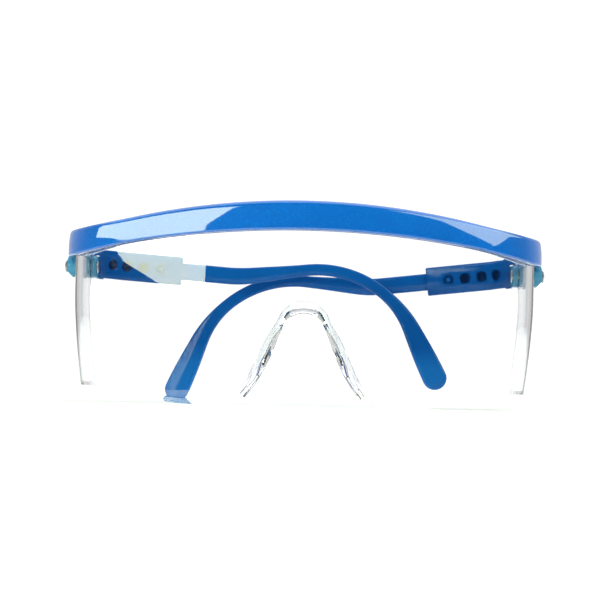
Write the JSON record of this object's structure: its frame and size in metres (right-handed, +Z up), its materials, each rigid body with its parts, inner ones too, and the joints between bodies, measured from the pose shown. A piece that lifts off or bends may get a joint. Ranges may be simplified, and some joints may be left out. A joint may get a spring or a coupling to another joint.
{
  "type": "safety goggles",
  "caption": "Wraparound clear safety goggles with a blue brow bar and folding, tilting temples that slide in sleeves to set their length.",
  "frame": {"origin": "middle of the overall width and depth, on the surface that the lens's lower edge stands on", "axes": "+Z up; the lens faces -Y; +X is to the wearer's left, so the temple named right is the one on the right as seen from the front, and the width along X is the longest extent"},
  "size_m": [0.1514, 0.0682, 0.0609],
  "materials": {
    "clear_lens": "polished clear polycarbonate",
    "bar_blue": "glossy pearlescent with fine metallic flake",
    "block_blue": "gloss",
    "sleeve_blue": "gloss",
    "arm_blue": "gloss",
    "pin_steel": "satin"
  },
  "bodies": {
    "front": {"lens": "clear_lens", "brow_bar": "bar_blue"},
    "right_hinge": {"right_hinge_block": "block_blue", "right_tilt_pivot": "pin_steel", "right_hinge_pin": "pin_steel"},
    "right_sleeve": {"right_sleeve": "sleeve_blue"},
    "right_arm": {"right_arm": "arm_blue"},
    "left_hinge": {"left_hinge_block": "block_blue", "left_tilt_pivot": "pin_steel", "left_hinge_pin": "pin_steel"},
    "left_sleeve": {"left_sleeve": "sleeve_blue"},
    "left_arm": {"left_arm": "arm_blue"}
  },
  "joints": [
    {"name": "right_tilt", "type": "hinge", "parent": "front", "child": "right_hinge", "pos_m": [0.0711, 0.01617, 0.042], "axis": [1, 0, 0], "range_deg": [-8, 8]},
    {"name": "right_fold", "type": "hinge", "parent": "right_hinge", "child": "right_sleeve", "pos_m": [0.06992, 0.02577, 0.0437], "axis": [0.1149, 0, -0.9934], "range_deg": [0, 87.5]},
    {"name": "right_length", "type": "slide", "parent": "right_sleeve", "child": "right_arm", "axis": [0.987, -0.1132, 0.1142], "range_m": [0, 0.0159]},
    {"name": "left_tilt", "type": "hinge", "parent": "front", "child": "left_hinge", "pos_m": [-0.0711, 0.01617, 0.042], "axis": [1, 0, 0], "range_deg": [-8, 8]},
    {"name": "left_fold", "type": "hinge", "parent": "left_hinge", "child": "left_sleeve", "pos_m": [-0.06992, 0.02577, 0.0437], "axis": [0.0663, 0, 0.9978], "range_deg": [0, 92]},
    {"name": "left_length", "type": "slide", "parent": "left_sleeve", "child": "left_arm", "axis": [-0.9972, -0.0349, 0.0662], "range_m": [0, 0.0159]}
  ]
}
